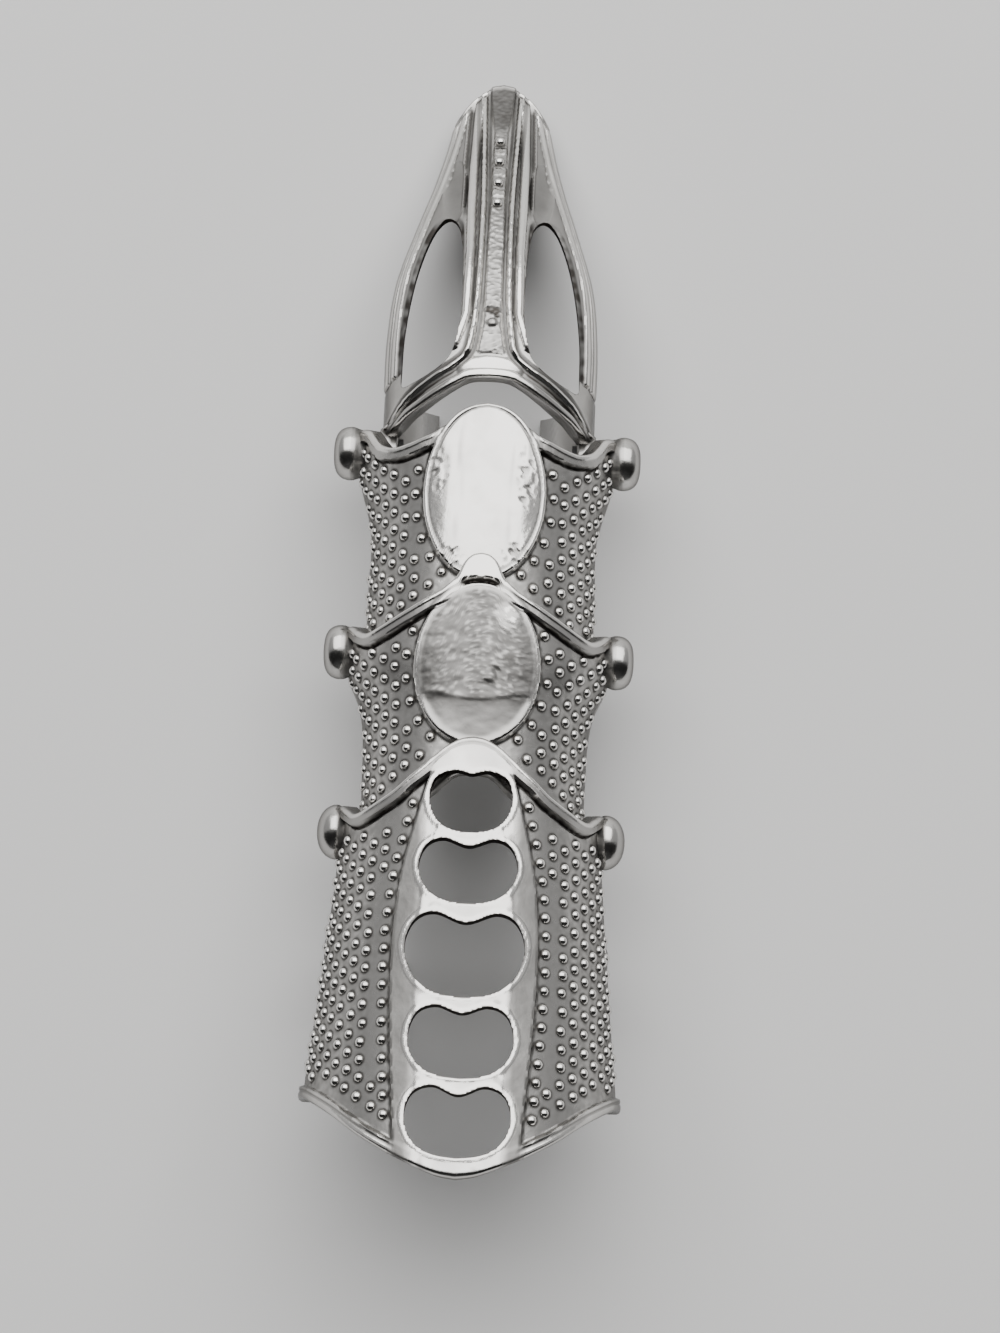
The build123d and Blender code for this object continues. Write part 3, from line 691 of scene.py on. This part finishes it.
def lower_relief(p, half, d_front, d_rear, d_low):
    """The same for the lower plate: wrinkled oval with a facet at its rear, and the beak's lip."""
    x, y = p[..., 0], p[..., 1]
    ax = np.abs(x)
    middle, half_width, half_length = LOWER_OVAL
    d = oval_distance(x, y, half_width, half_length, middle)
    oval = step(d, -0.18, 0.18)
    beside_beak = step(ax, 1.9, 2.6)
    # the rims of both sides meet in a broad lip, parted from the oval's end by a thin arc that is darkened as
    # painted shade
    lip = step(-d, 0.12, 0.46) * (1 - step(ax, 1.7, 2.4)) * step(y, 0, 1)
    rim = np.maximum(within(d_front, RIM), lip)
    arc = bump(d + 0.20, 0.20) * (1 - step(ax, 1.0, 1.8)) * step(y, 0, 1)
    on = np.maximum(oval, rim) * (1 - 0.7 * arc)
    rough = step(d, 0.40, 0.75)
    height = GROUND_SINK * on
    height += 0.03 * bump(d - 0.12, 0.16)
    above_facet = step(y, -7.4, -6.6)
    wrinkles = wobble(p * np.array([0.9, 2.4, 1]), 1.0, 2)
    fine_wrinkles = wobble(p * np.array([1, 2.2, 1]), 0.42, 5)
    height += rough * above_facet * (0.035 * wrinkles + 0.022 * fine_wrinkles)
    facet = np.clip(-(y + 6.9 + 0.30 * np.cos(x * 0.8)), 0, 4)
    height -= rough * 0.16 * facet * np.exp(-facet / 1.6)
    height += rough * 0.05 * bump(y + 6.7 + 0.30 * np.cos(x * 0.8), 0.30)
    height += rough * (0.13 * spot(p, *LOWER_LUMP) - 0.10 * spot(p, *LOWER_DIMPLE))
    blob = spot(p, *LOWER_BLOB)
    height += rough * 0.10 * blob
    rim_height, rim_tone_and_crease_shade = rim_shape(d_front, RIM, beside_beak)
    height += rim_height + 0.08 * lip * bump(x, 1.8)
    height += 0.10 * bump(d_low - 0.3, 0.4) * (1 - on)
    height += 0.010 * wobble(p, 1.6, 3) + 0.008 * wobble(p, 0.5, 33)
    ground = (1 - on) * step(d_low, 0.3, 0.8)
    # the ground round each bead's feet is darkened as painted shade
    foot_shade = bead_feet(p, lower_beads)
    mottle = ground * (1 - foot_shade) * np.clip(1.6 * wobble(p, 0.45, 73), -0.6, 1)
    wear_and_painted_light = 0.84 - 0.30 * ground - 0.38 * foot_shade * ground + 0.16 * mottle + rim_tone_and_crease_shade * (1 - oval)
    wear_and_painted_light += 0.12 * lip - 0.6 * arc
    flecks = np.clip(1.6 * fine_wrinkles, 0, 1) * above_facet * (1 - step(np.abs(x), 2.6, 4.0))
    wear_and_painted_light -= rough * (0.56 - 0.40 * blob - 0.10 * step(-y, 7.0, 7.6) - 0.34 * flecks)
    wear_and_painted_light -= rough * 0.10 * wrinkles
    wear_and_painted_light -= oval * (1 - rough) * 0.18 * step(d, 0.2, 0.3)
    # a dark line where the oval meets the sunk ground, painted shade
    wear_and_painted_light -= 0.28 * bump(d + 0.16, 0.14)
    return height, wear_and_painted_light


def upper_relief(p, half, d_front, d_rear, d_low):
    """The same for the upper plate: smooth oval with a few pits, and rims beside it."""
    x, y = p[..., 0], p[..., 1]
    ax = np.abs(x)
    middle, half_width, half_length = UPPER_OVAL
    d = oval_distance(x, y, half_width, half_length, middle)
    oval = step(d, -0.18, 0.18)
    beside_oval_end = step(ax, 3.0, 3.6)
    rim = within(d_front, RIM) * beside_oval_end
    on = np.maximum(oval, rim)
    height = GROUND_SINK * on
    height += 0.04 * bump(d - 0.22, 0.22) - 0.05 * bump(d - 0.48, 0.10)
    height += 0.03 * step(d, 0.8, 3.0)
    pits = spot(p, *UPPER_LEFT_PITS) * np.clip(wobble(p, 0.45, 4), 0, 1)
    pits = pits + spot(p, *UPPER_RIGHT_PITS) * np.clip(wobble(p, 0.4, 14), 0, 1)
    pits = pits + both_spots(p, *UPPER_REAR_PITS) * np.clip(wobble(p, 0.4, 24), 0, 1)
    height -= 0.14 * pits * oval
    rim_height, rim_tone_and_crease_shade = rim_shape(d_front, RIM, step(ax, 3.4, 4.2) * (1 - oval))
    height += rim_height
    height += 0.10 * bump(d_low - 0.3, 0.4) * (1 - on)
    height += 0.008 * wobble(p * np.array([2.0, 0.6, 1]), 1.6, 6)
    height += 0.008 * wobble(p, 0.5, 36) * (1 - 0.5 * oval)
    ground = (1 - on) * step(d_low, 0.3, 0.8)
    # the ground round each bead's feet is darkened as painted shade
    foot_shade = bead_feet(p, upper_beads)
    streak = np.clip(wobble(p * np.array([2.4, 0.35, 1]), 1.2, 40), 0, 1) * step(ax, 1.2, 2.6)
    mottle = ground * (1 - foot_shade) * np.clip(1.6 * wobble(p, 0.45, 75), -0.6, 1)
    wear_and_painted_light = 0.88 - 0.34 * ground - 0.38 * foot_shade * ground + 0.16 * mottle + rim_tone_and_crease_shade
    # the groove inside the oval's edge and the line where it meets the ground are darkened as painted shade
    wear_and_painted_light -= oval * (0.6 * pits + 0.30 * streak + 0.45 * bump(d - 0.48, 0.10)) + 0.28 * bump(d + 0.16, 0.14)
    return height, wear_and_painted_light


ridge_lines = [smooth_curve([(s * x, y) for x, y in RIDGE], 400) for s in (-1, 1)]
ridge_side = ridge_lines[1][::-1]


def tip_relief(p, half, d_front, d_rear, d_low):
    """The same for the tip: middle strip, ridges, rims round the windows, arms and rear hoop."""
    x, y = p[..., 0], p[..., 1]
    near = np.minimum(line_distance(x, y, ridge_lines[0]), line_distance(x, y, ridge_lines[1]))
    ax = np.abs(x)
    spine = step(y, 21.2, 21.9)
    inside_ridges = ax < np.interp(y, ridge_side[:, 1], ridge_side[:, 0])
    # middle strip, thin ridges beside it, and a rim beyond them that edges the windows
    strip_half = np.interp(y, [21, 24, 34, 36, 44, 46, 49], [1.1, 0.66, 0.60, 0.50, 0.52, 0.80, 1.0])
    strip = (1 - step(ax, strip_half - 0.10, strip_half + 0.12)) * spine
    collars = sum(bump(y - c, 0.42) for c in SPINE_COLLARS)
    grain = wobble(p * np.array([1, 1.5, 1]), 0.36, 21) * (1 - 0.8 * step(y, 43.5, 45))
    height = strip * (0.17 + 0.09 * grain + 0.08 * collars)
    # the lines run out short of the nose, where a thin rim follows the outline
    run_out = step(d_front, 0.45, 1.3)
    ridge = bump(near, 0.21) * run_out
    glint = wobble(p, 0.45, 23)
    height += (0.36 + 0.06 * glint) * ridge * (0.6 + 0.4 * spine)
    nose_rim = bump(d_front - 0.26, 0.22) * step(y, 40, 43)
    height += 0.10 * nose_rim
    gully = bump(near - 0.42, 0.17) * (1 - strip)
    outer = np.interp(y, [20, 22, 25, 31, 35, 40, 46, 49], [9, 3.2, 2.28, 2.2, 2.3, 2.3, 2.15, 1.95])
    outer_rim = np.where(inside_ridges, 0, bump(ax - outer + 0.22, 0.36) * step(y, 21.4, 22.6)) * run_out
    height += 0.34 * outer_rim - 0.08 * gully
    beyond = bump(ax - outer - 0.34, 0.2) * step(y, 34.2, 35.4) * run_out
    second = bump(ax - outer - 0.62, 0.16) * step(y, 35.0, 36.5) * run_out
    height += 0.14 * second - 0.20 * beyond
    # arms: two ridges and a groove as seen from above, and a thin line round the windows
    side = step(ax - outer, 0.2, 0.5)
    q = half - ax
    pair = (bump(q - 0.42, 0.20) + bump(q - 0.98, 0.22)) * run_out
    between = bump(q - 0.70, 0.13) * run_out
    window = np.minimum(line_distance(x, y, window_lines[0]), line_distance(x, y, window_lines[1]))
    on_arm = side * step(y, 17.5, 19.0)
    beside_window = on_arm * step(y, 19.4, 20.6) * (1 - step(y, 33.6, 34.8))
    inner_face = beside_window * (1 - step(window, 0.34, 0.52))
    height += on_arm * (0.24 * pair - 0.12 * between) - 0.26 * beside_window * (1 - step(window, 0.0, 0.5))
    web = both_spots(p, *TIP_WEB)
    height -= 0.40 * web * (1 - pair)
    # hoop at the rear: rounded band along the edge, then a groove, and a broad smooth middle
    middle = spot(p, *TIP_HOOP_MIDDLE)
    height += 0.28 * bump(d_rear - 0.40, 0.44) * (1 - 0.6 * middle)
    height -= 0.08 * bump(d_rear - 1.0, 0.20) * (1 - middle)
    height += 0.20 * middle + 0.24 * spot(p, *TIP_LUMP)
    pit = spot(p, *TIP_PIT)
    hollow = spot(p, *TIP_HOLLOW)
    height -= 0.16 * pit + 0.10 * hollow
    height += 0.010 * wobble(p, 0.9, 9)
    # raised ridges and rims are painted lighter as painted highlight, the gullies beside them darker as
    # painted shade
    wear_and_painted_light = 0.74 + 0.24 * ridge + 0.18 * outer_rim - 0.55 * gully
    # the hoop's groove is darkened as painted shade
    wear_and_painted_light -= 0.35 * bump(d_rear - 1.0, 0.25) * (1 - middle)
    # the nose's thin rim is painted lighter as painted highlight, the windows' inner faces darker as painted
    # shade
    wear_and_painted_light += 0.2 * nose_rim - 0.50 * inner_face * (0.8 + 0.6 * wobble(p, 0.8, 61))
    # glint gives the ridges a painted sparkle, painted highlight
    wear_and_painted_light += 0.25 * ridge * spine * glint
    wear_and_painted_light -= 0.30 * strip * step(y, 43.5, 45) + 0.16 * side * (1 - pair)
    # the arms' ridges are painted lighter as painted highlight; the groove between them, the webs and the
    # groove beyond are darker as painted shade
    wear_and_painted_light += on_arm * (0.20 * pair - 0.40 * between) - 0.22 * web * (1 - pair) - 0.40 * beyond + 0.15 * second
    wear_and_painted_light += 0.24 * middle - 0.24 * strip * (1.0 - 1.3 * grain) - 0.4 * pit - 0.3 * hollow
    wear_and_painted_light += 0.25 * strip * collars
    # a dark strip along the arms' outer edge is painted shade
    wear_and_painted_light -= 0.25 * on_arm * step(0.24 - q, 0, 0.2)
    return height, wear_and_painted_light


def rear_of(hinge):
    """Rear outline of the plate whose ears are at that hinge."""
    y = HINGES[hinge][0]
    return [(x, y + dy) for x, dy in PLATE_REAR]


def finish_mesh(obj, angle):
    """Smooth shading, with edges over that many degrees kept sharp."""
    obj.data.shade_smooth()
    obj.data.set_sharp_from_angle(angle=math.radians(angle))


guard = guard_mesh("base_shell", BASE_ROWS, BASE_FRONT[:-3] + BASE_RIM_TURN, BASE_REAR, base_relief)
cut(guard, hole_lines, 12, 30)
parts = [guard, bead_object("beads", base_beads)] + [knob_mesh("base", s) for s in (-1, 1)]
parts += band_mesh(*BASE_OPEN_BAND)
base = join(parts, "base_casting")

guard = guard_mesh("lower_shell", LOWER_ROWS, LOWER_FRONT, rear_of("base"), lower_relief)
parts = [guard, bead_object("beads", lower_beads)] + [knob_mesh("lower", s) for s in (-1, 1)]
parts += [ear_mesh("base", s) for s in (-1, 1)]
lower = join(parts, "lower_casting")

guard = guard_mesh("upper_shell", UPPER_ROWS, UPPER_FRONT, rear_of("lower"), upper_relief)
parts = [guard, bead_object("beads", upper_beads)] + [knob_mesh("upper", s) for s in (-1, 1)]
parts += [ear_mesh("lower", s) for s in (-1, 1)]
upper = join(parts, "upper_casting")

spine_slope = np.array([0, 0.5, 1.0])
tip_beads = [(np.array([SPINE_BEAD_X, y, row_at(TIP_ROWS, y)[1] - BEAD_SUNK]), spine_slope, BEAD_R)
             for y in SPINE_BEADS]
guard = guard_mesh("tip_shell", TIP_ROWS, TIP_NOSE, TIP_REAR, tip_relief)
cut(guard, window_lines, -2, 30)
parts = [guard, bead_object("beads", tip_beads)]
parts += [ear_mesh("upper", s) for s in (-1, 1)]
parts += band_mesh(*TIP_OPEN_BAND)
tip = join(parts, "tip_casting")

for obj, body, node in ((base, "base", "base_guard"), (lower, "lower", "lower_plate"),
                        (upper, "upper", "upper_plate"), (tip, "tip", "tip_guard")):
    finish_mesh(obj, SHARP_ANGLE)
    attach(obj, body)
    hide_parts(node)


def silver(name, rough, dark):
    """Silver plate: darker grey in the hollows, partly a grey film and partly painted shade; brighter and
    glossier on what stands up, partly polish and partly painted highlight; fine scratches.
    """
    mat = bpy.data.materials.new(name)
    mat.use_nodes = True
    tree = mat.node_tree
    tree.nodes.clear()
    new = tree.nodes.new
    link = tree.links.new
    out = new("ShaderNodeOutputMaterial")
    shade = new("ShaderNodeBsdfPrincipled")
    link(shade.outputs[0], out.inputs[0])
    shade.inputs["Metallic"].default_value = 1.0
    shade.inputs["Specular Tint"].default_value = (0.32, 0.32, 0.32, 1)
    coords = new("ShaderNodeTexCoord")
    wear_and_painted_light = new("ShaderNodeAttribute")
    wear_and_painted_light.attribute_name = "wear_and_painted_light"
    cloud = new("ShaderNodeTexNoise")
    cloud.inputs["Scale"].default_value = 420
    cloud.inputs["Detail"].default_value = 5
    link(coords.outputs["Object"], cloud.inputs["Vector"])
    fine_noise = new("ShaderNodeTexNoise")
    fine_noise.inputs["Scale"].default_value = 2600
    fine_noise.inputs["Detail"].default_value = 4
    link(coords.outputs["Object"], fine_noise.inputs["Vector"])
    tone = new("ShaderNodeMath")
    tone.operation = "MULTIPLY_ADD"
    tone.inputs[1].default_value = 0.22
    link(cloud.outputs["Fac"], tone.inputs[0])
    link(wear_and_painted_light.outputs["Fac"], tone.inputs[2])
    ramp = new("ShaderNodeValToRGB")
    ramp.color_ramp.elements[0].position = 0.20
    ramp.color_ramp.elements[0].color = (*dark, 1)
    ramp.color_ramp.elements[1].position = 1.0
    ramp.color_ramp.elements[1].color = (0.80, 0.785, 0.76, 1)
    for place, level in ((0.36, 0.18), (0.56, 0.36), (0.86, 0.50)):
        ramp.color_ramp.elements.new(place).color = (level, 0.98 * level, 0.95 * level, 1)
    link(tone.outputs[0], ramp.inputs["Fac"])
    link(ramp.outputs["Color"], shade.inputs["Base Color"])
    gloss = new("ShaderNodeMapRange")
    gloss.inputs["From Min"].default_value = 0.45
    gloss.inputs["From Max"].default_value = 0.95
    gloss.inputs["To Min"].default_value = rough + 0.28
    gloss.inputs["To Max"].default_value = rough
    link(tone.outputs[0], gloss.inputs["Value"])
    link(gloss.outputs[0], shade.inputs["Roughness"])
    lift = new("ShaderNodeBump")
    lift.inputs["Strength"].default_value = 0.35
    lift.inputs["Distance"].default_value = 0.00004
    link(fine_noise.outputs["Fac"], lift.inputs["Height"])
    link(lift.outputs["Normal"], shade.inputs["Normal"])
    return mat


plate = silver("silver_plate_wear_and_painted_light", 0.16, (0.055, 0.05, 0.046))
rivet_mat = silver("rivet_satin", 0.30, (0.12, 0.12, 0.12))
for obj in (base, lower, upper, tip):
    obj.data.materials.clear()
    obj.data.materials.append(plate)
for node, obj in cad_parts.items():
    obj.data.materials.clear()
    obj.data.materials.append(rivet_mat if node.startswith("rivet") else plate)

# Floor, in metres
FLOOR_HALF = 6.0
FLOOR_DROP = 0.00002
corners = [(x * FLOOR_HALF, y * FLOOR_HALF, -FLOOR_DROP) for x, y in ((-1, -1), (1, -1), (1, 1), (-1, 1))]
floor_mesh = bpy.data.meshes.new("table_top")
floor_mesh.from_pydata(corners, [], [(0, 1, 2, 3)])
floor = bpy.data.objects.new("table_top", floor_mesh)
bpy.context.scene.collection.objects.link(floor)
floor_mat = bpy.data.materials.new("pale_table")
floor_mat.use_nodes = True
tree = floor_mat.node_tree
shade = tree.nodes["Principled BSDF"]
coords = tree.nodes.new("ShaderNodeTexCoord")
cloud = tree.nodes.new("ShaderNodeTexNoise")
cloud.inputs["Scale"].default_value = 9
cloud.inputs["Detail"].default_value = 3
ramp = tree.nodes.new("ShaderNodeValToRGB")
ramp.color_ramp.elements[0].color = (0.73, 0.73, 0.73, 1)
ramp.color_ramp.elements[1].color = (0.80, 0.80, 0.80, 1)
tree.links.new(coords.outputs["Object"], cloud.inputs["Vector"])
tree.links.new(cloud.outputs["Fac"], ramp.inputs["Fac"])
tree.links.new(ramp.outputs["Color"], shade.inputs["Base Color"])
shade.inputs["Roughness"].default_value = 0.65
floor_mesh.materials.append(floor_mat)


def area_light(name, place, aim, size_x, size_y, power, colour):
    """Softbox at a place, turned to face the aim."""
    data = bpy.data.lights.new(name, "AREA")
    data.shape = "RECTANGLE"
    data.size, data.size_y = size_x, size_y
    data.energy = power
    data.color = colour
    light = bpy.data.objects.new(name, data)
    bpy.context.scene.collection.objects.link(light)
    light.location = place
    light.rotation_mode = "QUATERNION"
    light.rotation_quaternion = (Vector(aim) - Vector(place)).to_track_quat("-Z", "Y")
    return light


area_light("sky_box", (0.0, 0.30, 0.52), (0, 0, 0), 1.0, 0.66, 6.2, (1, 0.99, 0.975))

# Surroundings: dark behind the base, grey elsewhere, brightest low beyond the tip
world = bpy.data.worlds.new("studio")
bpy.context.scene.world = world
world.use_nodes = True
tree = world.node_tree
sky = tree.nodes["Background"]
sky.inputs["Strength"].default_value = 1.0
direction = tree.nodes.new("ShaderNodeTexCoord")
split = tree.nodes.new("ShaderNodeSeparateXYZ")
shade_ramp = tree.nodes.new("ShaderNodeValToRGB")
shade_ramp.color_ramp.elements[0].position = 0.0
shade_ramp.color_ramp.elements[0].color = (0.075, 0.075, 0.075, 1)
shade_ramp.color_ramp.elements[1].position = 0.97
shade_ramp.color_ramp.elements[1].color = (1.1, 1.1, 1.08, 1)
for place, level in ((0.16, 0.02), (0.43, 0.014), (0.50, 0.46), (0.82, 0.50)):
    shade_ramp.color_ramp.elements.new(place).color = (level, level, level, 1)
half_way = tree.nodes.new("ShaderNodeMath")
half_way.operation = "MULTIPLY_ADD"
half_way.inputs[1].default_value = 0.5
half_way.inputs[2].default_value = 0.5
tree.links.new(direction.outputs["Generated"], split.inputs[0])
tree.links.new(split.outputs["Y"], half_way.inputs[0])
tree.links.new(half_way.outputs[0], shade_ramp.inputs["Fac"])
tree.links.new(shade_ramp.outputs["Color"], sky.inputs["Color"])

# Camera at the photograph's angle, in mm
elevation, turn = math.radians(75.0), math.radians(2.38)
distance, mm_per_pixel = 330.0, 0.0785
picture_height, sensor = 1333, 36
object_left, object_up = 20.5, 33.0     # of the picture's middle, in pixels
right = Vector((math.cos(turn), math.sin(turn), 0))
back = Vector((math.sin(turn) * math.cos(elevation), -math.cos(turn) * math.cos(elevation),
               math.sin(elevation)))
up = back.cross(right)
target = Vector((0, -MID_Y, 10.0))
eye = target + back * distance
aim = target + (right * object_left - up * object_up) * mm_per_pixel
cam_data = bpy.data.cameras.new("camera")
cam_data.lens = distance / mm_per_pixel * sensor / picture_height
cam_data.sensor_width = sensor
cam_data.clip_start = 0.01
cam_data.clip_end = 10
camera = bpy.data.objects.new("camera", cam_data)
bpy.context.scene.collection.objects.link(camera)
look = (aim - eye).normalized()
side = look.cross(up).normalized()
true_up = side.cross(look)
camera.matrix_world = Matrix((
    (side.x, true_up.x, -look.x, eye.x * MM),
    (side.y, true_up.y, -look.y, eye.y * MM),
    (side.z, true_up.z, -look.z, eye.z * MM),
    (0, 0, 0, 1)))
bpy.context.scene.camera = camera
